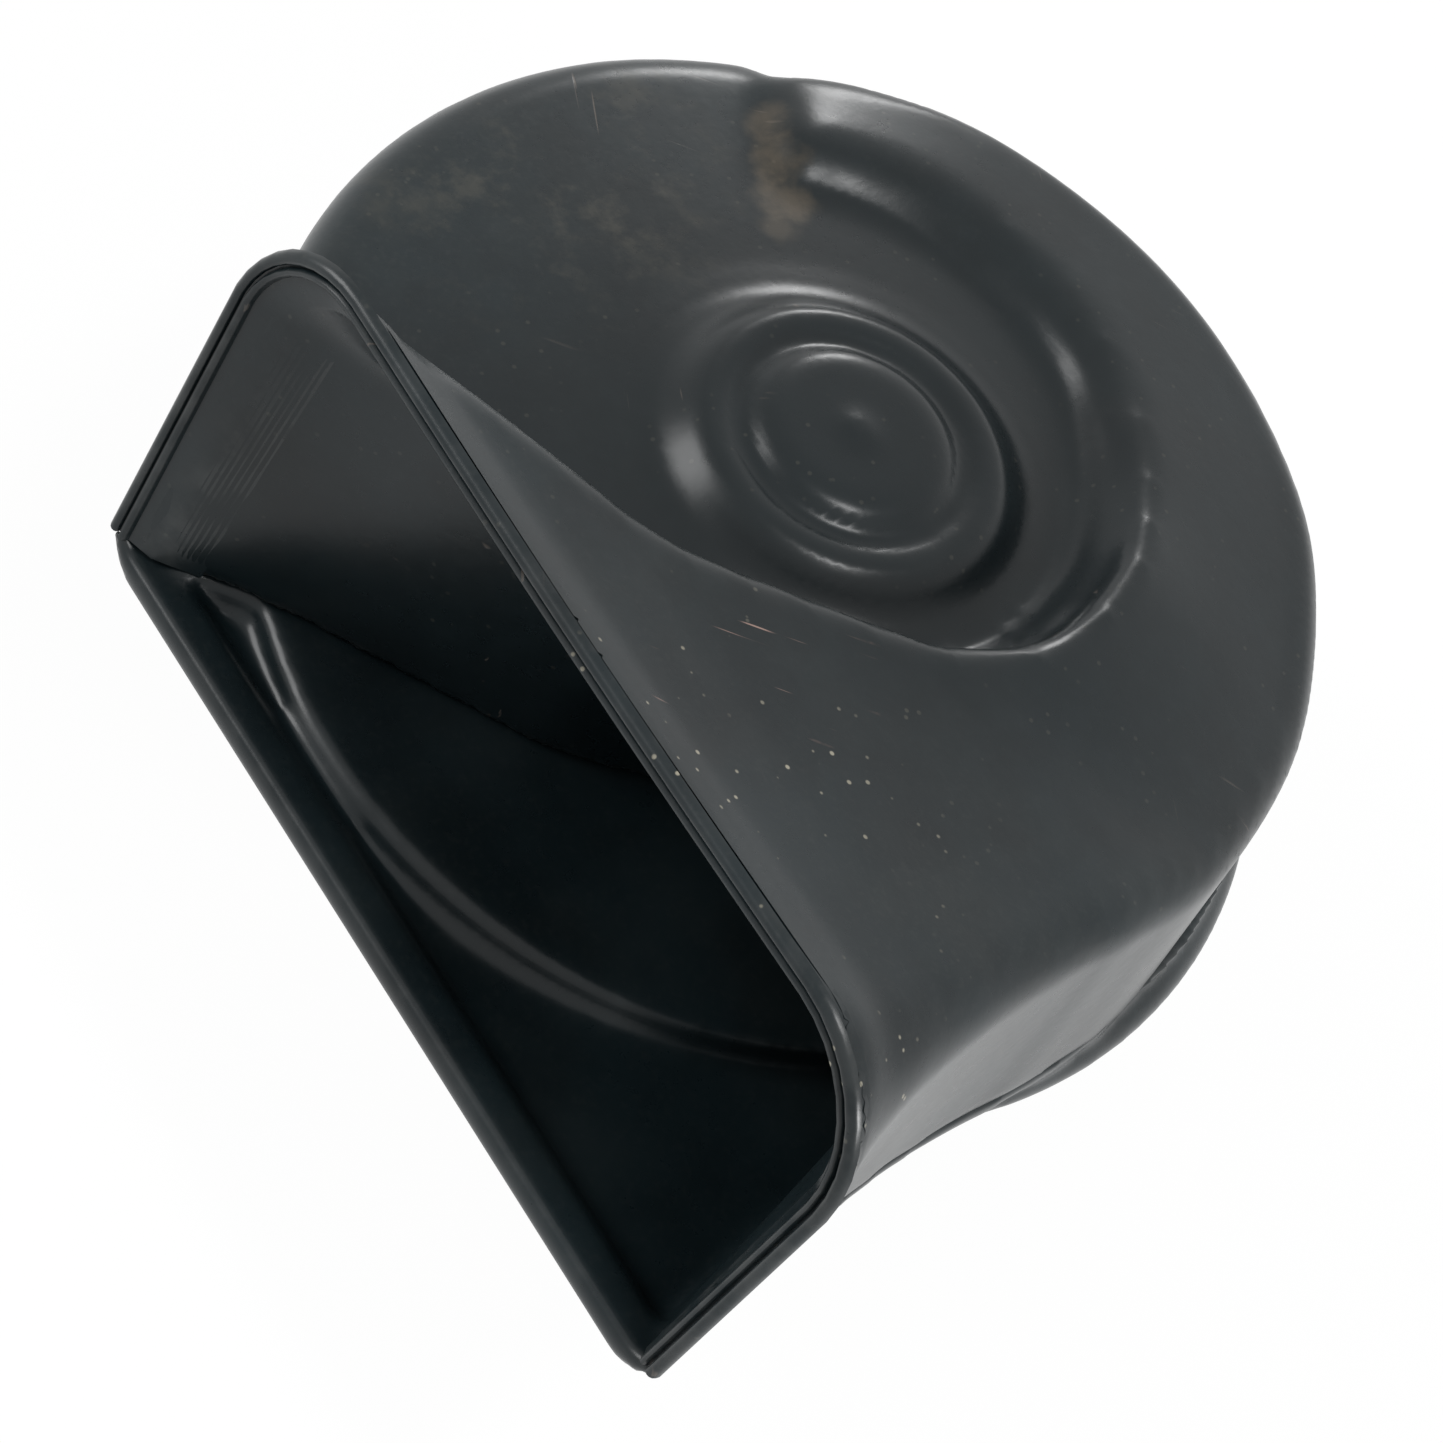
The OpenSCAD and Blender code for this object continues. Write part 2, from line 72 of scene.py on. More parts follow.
INNER = np.array([[k[0]] + round_axis(k[1] - 1.1, k[2]) + list(k[3:]) for k in (
    (0, 32, 155.5, 1.2, -2.3, 0.6), (1, 32, 151.5, 1.8, 2.4, 1.2), (2, 31.8, 141, 2, 2.7, 1.6),
    (3, 30.8, 125, 2, 3.1, 1.8), (4, 29, 107, 2, 3.6, 2), (5, 27.5, 90, 2, 4.2, 2),
    (6, 25.3, 71.6, 2, 5.2, 2), (7, 24, 55.6, 2, 6.1, 2), (8, 23.3, 33, 2, 7.6, 2),
    (9, 23.2, 5, 2, 8.6, 2), (10, 22.4, -18.8, 2, 9.6, 2), (11, 21.8, -32, 2, 10.2, 2),
    (12, 22.5, -53.7, 2, 11.3, 2), (13, 25.8, -71.7, 2.1, 12.6, 2),
    (14, 28.1, -81.2, 2.3, 13.4, 2), (15, 30.8, -92.2, 2.6, 14.4, 1.8))] + [
    [16, -7.6, -32.9, 3.4, 15.5, 1.4], [17, -13.8, -35.4, 5.6, 16.6, 0.7],
    [18, -20.3, -38.3, 7.4, 17.6, -0.4],
    [19, -MOUTH_LEFT, -LIP_DROP, LEFT_CORNER, LIP_Z, -MOUTH_TAPER]])
OUTER = np.array([[k[0]] + round_axis(k[1], k[2]) + list(k[3:]) for k in (
    (0, SNAIL_R - 1, 155.5, 2, -3.2, 1.9), (1, SNAIL_R - 0.8, 151.5, 2.6, 0.5, SNAIL_DRAFT),
    (2, SNAIL_R - 0.3, 141, 3, 1.5, SNAIL_DRAFT), (3, SNAIL_R, 125, 3, 1.9, SNAIL_DRAFT),
    (4, SNAIL_R, 107, 3, 1.9, SNAIL_DRAFT), (5, SNAIL_R, 90, 3, 1.9, SNAIL_DRAFT),
    (6, SNAIL_R, 71.6, 3, 1.9, SNAIL_DRAFT), (7, SNAIL_R, 55.6, 3, 1.9, SNAIL_DRAFT),
    (8, SNAIL_R + 0.2, 33, 3, 2.3, SNAIL_DRAFT), (9, SNAIL_R + 1.6, 9, 3, 5, 1))] + [
    [10, 45.9, -5, 3.2, 8, 0.7], [11, 46.5, -12, 3.4, 9.5, 0.4], [12, 47.4, -19, 4, 11.1, 0.1],
    [13, 48.6, -25.2, 4.6, 12.7, 0], [14, 49.5, -29.2, 5.2, 13.8, -0.2],
    [15, 50.4, -32.4, 6, 14.9, -0.3], [16, 51.4, -35.2, 7.2, 15.9, -0.4],
    [17, 52.6, -37.8, 8.8, 16.9, -0.5], [18, 53.9, -39.9, 10.6, 17.7, -0.5],
    [19, MOUTH_RIGHT, -LIP_DROP, MOUTH_CORNER, LIP_Z, -MOUTH_TAPER / 3]])
LAST = 19


def slope(line, i):
    a, b = line[max(i - 1, 0)], line[min(i + 1, len(line) - 1)]
    return (b - a) / (b[0] - a[0])


def along(line, s):
    """The line's row at station s, by a piecewise cubic."""
    i = int(min(np.sum(line[:, 0] <= s) - 1, len(line) - 2))
    d = line[i + 1][0] - line[i][0]
    u = (s - line[i][0]) / d
    return (line[i] * (2 * u**3 - 3 * u**2 + 1) + slope(line, i) * d * (u**3 - 2 * u**2 + u)
            + line[i + 1] * (3 * u**2 - 2 * u**3) + slope(line, i + 1) * d * (u**3 - u**2))


def across(line, s, side):
    d = along(line, min(s + 0.05, LAST))[1:3] - along(line, max(s - 0.05, 0))[1:3]
    w = 0 if s < LAST - 3 else ((s - LAST + 3) / 3) ** 2
    n = side * np.array([-d[1], d[0]])
    v = (1 - w) * n / np.linalg.norm(n) + w * np.array([side, 0])
    return v / np.linalg.norm(v)


def held_behind_lip(y, z, s):
    """Eases a section off the lip, so that the crown never folds over it."""
    if s < LAST - 7 or s >= LAST:
        return y
    limit = LIP_PACE * (LAST - s) - LIP_DROP - MOUTH_LEAN * (LIP_Z - z)
    soft = 0.5 * min(LAST - s, 1)
    past = (y - limit) / soft
    return y if past > 30 else limit + soft * math.log1p(math.exp(past))


def leaned(p, z, top, s):
    k = MOUTH_LEAN * (0 if s < LAST - 5 else ((s - LAST + 5) / 5) ** 1.4)
    return [p[0], held_behind_lip(p[1] - k * (top - z), z, s), z]


def wall_with_edge(line, s, side, inset):
    """From the foot of a duct wall up its face and round its front edge."""
    row, n = along(line, s), across(line, s, side)
    rho = max(row[3] - inset, 0.5)
    p, top = row[1:3] + n * inset, row[4] - inset
    points = [leaned(p - n * row[5], JOINT_Z, row[4], s)]
    for a in np.radians(np.linspace(0, 90, 10)):
        inward, level = n * rho * (1 - math.cos(a)), top - rho + rho * math.sin(a)
        points.append(leaned(p + inward, level, row[4], s))
    return points


def duct_section(s, inset):
    left = wall_with_edge(INNER, s, 1, inset)
    right = wall_with_edge(OUTER, s, -1, inset)
    a, b = np.array(left[-1]), np.array(right[-1])
    sag = 0.5 * min(max((s - 8) / 1.5, 0), 1)
    crown = [a + (b - a) * v - np.array([0, 0, sag * math.sin(math.pi * v)])
             for v in np.linspace(0, 1, 14)[1:-1]]
    return left + [list(p) for p in crown] + right[::-1]


# ---------------------------------------------------------------- meshes

def finish_mesh(name, vertices, faces, sharp=38.0):
    """A mesh piece in the shared frame, welded, with its sharp edges kept."""
    mesh = bpy.data.meshes.new(name)
    mesh.from_pydata([in_frame(v) for v in vertices], [], faces)
    work = bmesh.new()
    work.from_mesh(mesh)
    settle(work, sharp)
    work.to_mesh(mesh)
    work.free()
    piece = bpy.data.objects.new(name, mesh)
    bpy.context.scene.collection.objects.link(piece)
    return piece


def settle(work, sharp):
    bmesh.ops.remove_doubles(work, verts=work.verts, dist=WELD)
    bmesh.ops.recalc_face_normals(work, faces=work.faces)
    for f in work.faces:
        f.smooth = True
    for e in work.edges:
        e.smooth = len(e.link_faces) == 2 and e.calc_face_angle(0.0) < math.radians(sharp)


RIM = ((0, 0.8), (0.04, 0.5), (0.16, 0.22), (0.38, 0.05), (0.62, 0), (0.84, 0.06), (0.98, 0.2),
       (1.04, 0.5), (1.2, 0.56), (1.28, 0.3), (1.42, 0.12), (1.6, 0.1), (1.78, 0.2), (1.92, 0.42),
       (2.0, 0.75))


def duct_skin(name, first):
    """The duct from station first to its double-edged mouth, as one closed skin."""
    stations = list(np.arange(first, LAST - 0.55, 1 / 12)) + [LAST - 0.5]
    rows = [duct_section(s, 0) for s in stations]
    for inset, back in RIM:
        rows.append([[p[0], p[1] + back, p[2]] for p in duct_section(LAST, inset)])
    rows += [duct_section(s, WALL) for s in reversed(stations)]
    n, m, k = len(rows[0]), len(rows), len(stations)
    vertices = [p for row in rows for p in row]
    faces = [(i * n + j, i * n + j + 1, (i + 1) * n + j + 1, (i + 1) * n + j)
             for i in range(m - 1) for j in range(n - 1)]
    for j in (0, n - 1):
        faces += [(i * n + j, (i + 1) * n + j, (m - 2 - i) * n + j, (m - 1 - i) * n + j)
                  for i in range(k - 1)]
        faces.append(tuple(i * n + j for i in range(k - 1, k + len(RIM) + 1)))
    faces += [(j, j + 1, (m - 1) * n + j + 1, (m - 1) * n + j) for j in range(n - 1)]
    return finish_mesh(name, vertices, faces)


def floor_level(r):
    return -FLOOR_FALL * max(r - 17, 0) / 22.5


def button_levels(radii):
    """Height of the button, its groove and the ridge round it."""
    r, z = zip((0, 4.9), (0.9, 4.9), (1.2, 4.5), (BUTTON_R - 1, BUTTON_H), (BUTTON_R - 0.3, 4.05),
               (BUTTON_R + 0.2, 3.2), (BUTTON_R + 0.7, 2), (BUTTON_R + 1.3, 1.5),
               (CREST_R - 1.7, 1.6), (CREST_R - 1.1, 2.4), (CREST_R - 0.6, 3.2), (CREST_R, 3.5),
               (CREST_R + 0.7, 3.2), (CREST_R + 1.8, 2), (CREST_R + 3.2, 0.9),
               (CREST_R + 5.1, 0.15), (18, 0))
    fine = np.arange(0, 19, 0.05)
    level = np.convolve(np.pad(np.interp(fine, r, z), 5, mode="edge"), np.ones(11) / 11, "valid")
    return np.interp(radii, fine, level)


def ridge_wall():
    """Angle, radius and fillet of the ridge's foot on the flat, all the way round."""
    found = []
    for s in np.arange(1, 17.95, 0.05):
        row, n = along(INNER, s), across(INNER, s, 1)
        level = floor_level(math.hypot(row[1], row[2]))
        fillet = min(max(0.9 * (row[4] - row[3] - level), 1.2), 3.4)
        z = level + 0.9 * fillet
        t = (z - JOINT_Z) / (row[4] - row[3] - JOINT_Z)
        p = leaned(row[1:3] - n * row[5] * (1 - t), z, row[4], s)
        found.append((math.degrees(math.atan2(p[1], p[0])), math.hypot(p[0], p[1]), fillet))
    found = np.array(found)[::-1]
    return found[:, 0], found[:, 1], found[:, 2]


def front_flat():
    """The flat with its button, filleted into the ridge, and the rounded lobe on the left."""
    centre = np.arange(0, 18.01, 0.25)
    heights = button_levels(centre)
    wall_angle, wall_r, wall_fillet = ridge_wall()
    parting = 151.5
    feet = (wall_r - wall_fillet)[:60][::-1]
    meeting = float(np.interp(SNAIL_R - 2.4, feet, wall_angle[:60][::-1]))
    shared = float(wall_r[-1] - wall_fillet[-1])
    vertices, faces = [], []

    def add_sector(angles, tail_at):
        first = len(vertices)
        for a in angles:
            tail = tail_at(a)
            for r, z in list(zip(centre, heights)) + tail:
                vertices.append([r * math.cos(math.radians(a)), r * math.sin(math.radians(a)), z])
        n = (len(vertices) - first) // len(angles)
        for i in range(len(angles) - 1):
            for j in range(n - 1):
                q = first + i * n + j
                faces.append((q, q + 1, q + n + 1, q + n))

    def out_to(foot):
        radii = list(np.linspace(18, min(shared, foot), 9)[1:])
        radii += list(np.linspace(min(shared, foot), foot, 6)[1:])
        return [(r, floor_level(r)) for r in radii]

    def against_ridge(a):
        end, round_r = (float(np.interp(a, wall_angle, v)) for v in (wall_r, wall_fillet))
        foot = end - round_r
        rise = [(foot + round_r * math.sin(u), floor_level(foot) + round_r * (1 - math.cos(u)))
                for u in np.radians(np.linspace(0, 84, 12)[1:])]
        return out_to(foot) + rise + [(end + 0.6, floor_level(foot) + round_r * 1.1)]

    def over_edge(a):
        at, curl = SNAIL_R - 2.4, 2.8
        tail = out_to(at)
        tail += [(at + curl * math.sin(u), floor_level(at) - curl * (1 - math.cos(u)))
                 for u in np.radians(np.linspace(0, 90, 9)[1:])]
        return tail + [(SNAIL_R + SNAIL_DRAFT, JOINT_Z)]

    add_sector(np.linspace(meeting, parting, 361), against_ridge)
    add_sector(np.linspace(parting, meeting + 360, 121), over_edge)
    piece = finish_mesh("front_flat", vertices, faces)
    thicken = piece.modifiers.new("moulded wall", "SOLIDIFY")
    thicken.thickness, thicken.offset = FLAT_WALL, -1
    return piece


def points_in_mm(mesh):
    """x, y and z of every vertex, in the horn's own millimetres."""
    at = np.zeros(len(mesh.vertices) * 3)
    mesh.vertices.foreach_get("co", at)
    x, back, up = at.reshape(-1, 3).T * 1000
    return x, up + HOLE_Y, BRACKET_Z - back


def store_weights(piece, name, weights):
    group = piece.vertex_groups.new(name=name)
    for index, weight in enumerate(weights):
        if weight > 0.01:
            group.add([index], float(weight), "REPLACE")


def smooth_over(piece, title, passes, group=""):
    made = piece.modifiers.new(title, "SMOOTH")
    made.factor, made.iterations, made.vertex_group = 0.5, passes, group


def weights_of_soft_places(mesh):
    """1 where the mould blends: along the ridge's foot and round the ridge's low start."""
    x, y, z = points_in_mm(mesh)
    wall_angle, wall_r, _ = ridge_wall()
    r, angle = np.hypot(x, y), np.degrees(np.arctan2(y, x))
    foot = np.clip(1.5 - np.abs(r - np.interp(angle, wall_angle, wall_r) - 0.2) / 4, 0, 1)
    foot[(angle < wall_angle[0]) | (angle > wall_angle[-1])] = 0
    foot *= np.clip((z + 5) / 2, 0, 1) * np.clip((6.5 - z) / 3, 0, 1)
    start = np.clip(1.6 - np.sqrt((x + 32.5) ** 2 + (y - 17) ** 2 + (1.3 * z) ** 2) / 9, 0, 1)
    return np.maximum(foot, start)


def moulded_front():
    """Duct and flat grown into one moulding, its inner corners blended, cut back to the rim."""
    parts = [duct_skin("duct_core", 0), front_flat()]
    graph = bpy.context.evaluated_depsgraph_get()
    work = bmesh.new()
    for part in parts:
        work.from_mesh(bpy.data.meshes.new_from_object(part.evaluated_get(graph)))
    mesh = bpy.data.meshes.new("front_moulding")
    work.to_mesh(mesh)
    work.free()
    for part in parts:
        bpy.data.objects.remove(part)
    piece = bpy.data.objects.new("front_moulding", mesh)
    bpy.context.scene.collection.objects.link(piece)
    even = piece.modifiers.new("even skin", "REMESH")
    even.mode, even.voxel_size = "VOXEL", FRONT_GRAIN
    bake_modifiers(piece)
    store_weights(piece, "soft_places", weights_of_soft_places(piece.data))
    smooth_over(piece, "blended corners", 26, "soft_places")
    smooth_over(piece, "settled skin", 3)
    bake_modifiers(piece)
    work = bmesh.new()
    work.from_mesh(piece.data)
    hidden = [v for v in work.verts if v.co.z * 1000 + HOLE_Y < 0.9 - LIP_DROP
              - MOUTH_LEAN * (LIP_Z - (BRACKET_Z - v.co.y * 1000))]
    bmesh.ops.delete(work, geom=hidden, context="VERTS")
    for f in work.faces:
        f.smooth = True
    work.to_mesh(piece.data)
    work.free()
    return piece


def bake_modifiers(piece):
    graph = bpy.context.evaluated_depsgraph_get()
    baked = bpy.data.meshes.new_from_object(piece.evaluated_get(graph))
    piece.modifiers.clear()
    piece.data = baked


def dressed(node, body, bevel=0.0, sharp=32.0):
    """A CAD node's own form with smooth curved faces and softened edges."""
    mesh = frame["nodes"][node].data.copy()
    mesh.materials.clear()
    work = bmesh.new()
    work.from_mesh(mesh)
    settle(work, sharp)
    work.to_mesh(mesh)
    work.free()
    if mesh.has_custom_normals:
        mesh.normals_split_custom_set([(0, 0, 0)] * len(mesh.loops))
    piece = bpy.data.objects.new(node + "_finish", mesh)
    bpy.context.scene.collection.objects.link(piece)
    if bevel:
        soft = piece.modifiers.new("softened edges", "BEVEL")
        soft.width, soft.segments, soft.limit_method = bevel, 2, "ANGLE"
        soft.angle_limit, soft.use_clamp_overlap = math.radians(50), True
        soft.harden_normals = True
    settle_piece(piece, body, node)
    return piece


def weights_of_drum_edge(mesh):
    """1 along the drum's edge inside the mouth, fading before the walls on either side."""
    x, y, z = points_in_mm(mesh)
    edge = np.clip(2 - np.abs(np.hypot(x, y) - DRUM_R) / 2, 0, 1)
    edge *= np.clip((36 - x) / 6, 0, 1) * np.clip((x + 34) / 4, 0, 1)
    return edge * (y < 0) * (z > JOINT_Z - 4)


def softened_rear_shell():
    """The rear half with every moulded edge and inside corner rounded off."""
    mesh = frame["nodes"]["trumpet_rear_shell"].data.copy()
    mesh.materials.clear()
    work = bmesh.new()
    work.from_mesh(mesh)
    bmesh.ops.remove_doubles(work, verts=work.verts, dist=WELD)
    work.to_mesh(mesh)
    work.free()
    piece = bpy.data.objects.new("rear_half", mesh)
    bpy.context.scene.collection.objects.link(piece)
    even = piece.modifiers.new("even skin", "REMESH")
    even.mode, even.voxel_size, even.use_smooth_shade = "VOXEL", REAR_GRAIN, True
    smooth_over(piece, "rounded edges", 7)
    bake_modifiers(piece)
    store_weights(piece, "drum_edge", weights_of_drum_edge(piece.data))
    smooth_over(piece, "blended drum edge", 34, "drum_edge")
    bake_modifiers(piece)
    for face in piece.data.polygons:
        face.use_smooth = True
    return piece


def settle_piece(piece, body, node):
    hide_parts(node)
    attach(piece, body)


# ---------------------------------------------------------------- shader helpers

def new_group(name, inputs, outputs):
    tree = bpy.data.node_groups.new(name, "ShaderNodeTree")
    for title, kind, value in inputs:
        socket = tree.interface.new_socket(title, in_out="INPUT", socket_type="NodeSocket" + kind)
        socket.default_value = value
    for title, kind in outputs:
        tree.interface.new_socket(title, in_out="OUTPUT", socket_type="NodeSocket" + kind)
    return tree, tree.nodes.new("NodeGroupInput"), tree.nodes.new("NodeGroupOutput")


def node(tree, kind, **settings):
    made = tree.nodes.new("ShaderNode" + kind)
    for key, value in settings.items():
        setattr(made, key, value)
    return made


def wire(tree, source, target):
    if hasattr(source, "is_output"):
        tree.links.new(source, target)
    else:
        target.default_value = source


def maths(tree, operation, a, b=0.0, clamp=False):
    made = node(tree, "Math", operation=operation, use_clamp=clamp)
    wire(tree, a, made.inputs[0])
    wire(tree, b, made.inputs[1])
    return made.outputs[0]


def blended(tree, amount, a, b, mode="MIX"):
    made = node(tree, "Mix", data_type="RGBA", blend_type=mode)
    wire(tree, amount, made.inputs[0])
    wire(tree, a, made.inputs[6])
    wire(tree, b, made.inputs[7])
    return made.outputs[2]


def noise(tree, where, scale, detail=4.0, rough=0.55):
    made = node(tree, "TexNoise")
    wire(tree, where, made.inputs["Vector"])
    wire(tree, scale, made.inputs["Scale"])
    made.inputs["Detail"].default_value = detail
    made.inputs["Roughness"].default_value = rough
    return made.outputs["Fac"]


def ramp(tree, value, low, high):
    made = node(tree, "MapRange", interpolation_type="SMOOTHSTEP")
    wire(tree, value, made.inputs[0])
    wire(tree, low, made.inputs[1])
    wire(tree, high, made.inputs[2])
    return made.outputs[0]


def place(tree):
    return node(tree, "TexCoord").outputs["Object"]


# ---------------------------------------------------------------- shared effects

def make_uneven_tone():
    tree, given, out = new_group(
        "uneven_tone", [("Colour", "Color", (0.5, 0.5, 0.5, 1)), ("Amount", "Float", 0.3),
                        ("Scale", "Float", 80.0)], [("Colour", "Color"), ("Mask", "Float")])
    spread = ramp(tree, noise(tree, place(tree), given.outputs["Scale"]), 0.3, 0.7)
    lift = maths(tree, "MULTIPLY", maths(tree, "SUBTRACT", spread, 0.5), given.outputs["Amount"])
    toned = node(tree, "HueSaturation")
    wire(tree, given.outputs["Colour"], toned.inputs["Color"])
    wire(tree, maths(tree, "ADD", lift, 1.0), toned.inputs["Value"])
    tree.links.new(toned.outputs[0], out.inputs["Colour"])
    tree.links.new(spread, out.inputs["Mask"])
    return tree


def make_hazy_dust():
    """Pale dust in soft patches and fine grains, thicker on faces that look up."""
    tree, given, out = new_group(
        "hazy_dust",
        [("Colour", "Color", (0.1, 0.1, 0.1, 1)), ("Dust", "Color", (0.3, 0.3, 0.28, 1)),
         ("Amount", "Float", 0.3), ("Scale", "Float", 60.0)],
        [("Colour", "Color"), ("Mask", "Float")])
    patches = ramp(tree, noise(tree, place(tree), given.outputs["Scale"], 7, 0.62), 0.42, 0.72)
    grains = ramp(tree, noise(tree, place(tree), 1900, 2, 0.5), 0.5, 0.74)
    facing = node(tree, "VectorMath", operation="DOT_PRODUCT")
    tree.links.new(node(tree, "NewGeometry").outputs["Normal"], facing.inputs[0])
    facing.inputs[1].default_value = (0, -1, 0)
    upward = ramp(tree, facing.outputs["Value"], 0.1, 1.0)
    lying = maths(tree, "ADD", maths(tree, "MULTIPLY", upward, 0.7), 0.3)
    spread = maths(tree, "ADD", maths(tree, "MULTIPLY", patches, 0.6),
                   maths(tree, "MULTIPLY", grains, 0.4))
    mask = maths(tree, "MULTIPLY", spread,
                 maths(tree, "MULTIPLY", lying, given.outputs["Amount"]), True)
    dusted = blended(tree, mask, given.outputs["Colour"], given.outputs["Dust"])
    tree.links.new(dusted, out.inputs["Colour"])
    tree.links.new(mask, out.inputs["Mask"])
    return tree


def make_hairlines():
    """Thin straight scratches in one direction, broken into short runs."""
    tree, given, out = new_group(
        "hairlines", [("Turn", "Float", 0.6), ("Scale", "Float", 900.0), ("Cover", "Float", 0.5)],
        [("Mask", "Float")])
    turned = node(tree, "VectorRotate", rotation_type="Y_AXIS")
    tree.links.new(place(tree), turned.inputs["Vector"])
    tree.links.new(given.outputs["Turn"], turned.inputs["Angle"])
    stretched = node(tree, "Mapping")
    stretched.inputs["Scale"].default_value = (0.03, 0.3, 1)
    tree.links.new(turned.outputs[0], stretched.inputs["Vector"])
    lines = ramp(tree, noise(tree, stretched.outputs[0], given.outputs["Scale"], 2, 0.5), 0.68, 0.74)
    runs = ramp(tree, noise(tree, turned.outputs[0], 75, 2, 0.5), given.outputs["Cover"],
                maths(tree, "ADD", given.outputs["Cover"], 0.08))
    tree.links.new(maths(tree, "MULTIPLY", lines, runs), out.inputs["Mask"])
    return tree


def make_spot():
    """A soft round spot about a point, its outline broken by noise."""
    tree, given, out = new_group(
        "spot",
        [("Centre", "Vector", (0, 0, 0)), ("Radius", "Float", 0.003), ("Ragged", "Float", 0.5)],
        [("Mask", "Float")])
    gap = node(tree, "VectorMath", operation="DISTANCE")
    tree.links.new(place(tree), gap.inputs[0])
    tree.links.new(given.outputs["Centre"], gap.inputs[1])
    share = maths(tree, "DIVIDE", gap.outputs["Value"], given.outputs["Radius"])
    torn = maths(tree, "MULTIPLY", maths(tree, "SUBTRACT", noise(tree, place(tree), 420, 4), 0.5),
                 maths(tree, "MULTIPLY", given.outputs["Ragged"], 3.0))
    mask = maths(tree, "SUBTRACT", 1.0, ramp(tree, maths(tree, "ADD", share, torn), 0.35, 1.0))
    tree.links.new(mask, out.inputs["Mask"])
    return tree


def make_edge_rub():
    tree, given, out = new_group("edge_rub", [("Width", "Float", 0.04)], [("Mask", "Float")])
    sharpness = node(tree, "NewGeometry").outputs["Pointiness"]
    worn = ramp(tree, sharpness, 0.51, maths(tree, "ADD", given.outputs["Width"], 0.51))
    broken = ramp(tree, noise(tree, place(tree), 300, 5), 0.35, 0.65)
    tree.links.new(maths(tree, "MULTIPLY", worn, broken), out.inputs["Mask"])
    return tree


EFFECTS = {"uneven_tone": make_uneven_tone(), "hazy_dust": make_hazy_dust(),
           "hairlines": make_hairlines(), "spot": make_spot(), "edge_rub": make_edge_rub()}


def effect(tree, name, **values):
    made = tree.nodes.new("ShaderNodeGroup")
    made.node_tree = EFFECTS[name]
    for key, value in values.items():
        wire(tree, value, made.inputs[key])
    return made


def start_material(name, metallic=0.0, ior=1.5):
    material = bpy.data.materials.new(name)
    material.use_nodes = True
    tree = material.node_tree
    shader = tree.nodes["Principled BSDF"]
    shader.inputs["Metallic"].default_value = metallic
    shader.inputs["IOR"].default_value = ior
    return material, tree, shader


def close_material(tree, shader, colour, roughness, height, depth):
    wire(tree, colour, shader.inputs["Base Color"])
    wire(tree, roughness, shader.inputs["Roughness"])
    bump = node(tree, "Bump")
    bump.inputs["Strength"].default_value = 0.6
    bump.inputs["Distance"].default_value = depth
    wire(tree, height, bump.inputs["Height"])
    tree.links.new(bump.outputs[0], shader.inputs["Normal"])


def spot_at(tree, x, y, z, radius, ragged=0.5):
    centre = in_frame((x, y, z))
    made = effect(tree, "spot", Centre=centre, Radius=radius / 1000, Ragged=ragged)
    return made.outputs["Mask"]


def lines_at(tree, turn, scale, cover):
    return effect(tree, "hairlines", Turn=turn, Scale=scale, Cover=cover).outputs["Mask"]


def tinted(tree, mask, strength, colour, tint):
    """The colour with a tint laid over it where the mask is, at a given strength."""
    return blended(tree, maths(tree, "MULTIPLY", mask, strength), colour, tint)


# ---------------------------------------------------------------- materials

SCUFF, SPECK, BROWN, PIT = ((0.12, 0.1, 0.085, 1), (0.3, 0.28, 0.22, 1), (0.14, 0.11, 0.075, 1),
                            (0.008, 0.009, 0.01, 1))
RUBBED, BLOTCH, MIDDLE_BLACK = (0.3, 0.2, 0.17, 1), (0.075, 0.07, 0.055, 1), (0.0015, 0.004, 0.005, 1)
# x, y, z, radius in mm and strength of each brown spot at the low start of the ridge
STAINS = ((-23.9, 11.9, -1, 2.9, 0.42), (-27.5, 14.5, -1, 3.0, 0.4),
          (-31, 16, -1, 2.6, 0.35), (-21.5, 9.5, 0, 2.0, 0.2))
PITS = ((-15.8, 10.2, 0.1), (-8.6, -19.7, -0.5))


def scratched(tree, colour, height):
    marks = maths(tree, "MAXIMUM", lines_at(tree, 0.75, 1500.0, 0.6), lines_at(tree, -0.5, 1900.0, 0.63))
    colour = tinted(tree, marks, 0.5, colour, SCUFF)
    return colour, maths(tree, "SUBTRACT", height, maths(tree, "MULTIPLY", marks, 0.15))


def specked(tree, colour):
    """Pale grains, thickest on the plateau by the lip."""
    cells = node(tree, "TexVoronoi")
    wire(tree, place(tree), cells.inputs["Vector"])
    cells.inputs["Scale"].default_value = 650
    pick = ramp(tree, noise(tree, place(tree), 130, 3), 0.46, 0.58)
    grains = maths(tree, "SUBTRACT", 1.0, ramp(tree, cells.outputs["Distance"], 0.08, 0.16))
    near_lip = maths(tree, "MAXIMUM", spot_at(tree, 26, -35, 14, 22, 0.2),
                     spot_at(tree, 43, -37, 15, 14, 0.2))
    share = maths(tree, "ADD", maths(tree, "MULTIPLY", near_lip, 0.8), 0.05)
    specks = maths(tree, "MULTIPLY", maths(tree, "MULTIPLY", grains, pick), share)
    return blended(tree, specks, colour, SPECK)


def stained(tree, colour, roughness):
    for x, y, z, radius, strength in STAINS:
        stain = maths(tree, "MULTIPLY", spot_at(tree, x, y, z, radius * 1.25, 0.25), strength)
        colour = blended(tree, stain, colour, BROWN)
        roughness = maths(tree, "ADD", roughness, maths(tree, "MULTIPLY", stain, 0.2))
    return colour, roughness


def pitted(tree, colour, height):
    for x, y, z in PITS:
        pit = spot_at(tree, x, y, z, 0.7, 0.1)
        height = maths(tree, "SUBTRACT", height, maths(tree, "MULTIPLY", pit, 1.5))
        colour = tinted(tree, pit, 0.7, colour, PIT)
    return colour, height


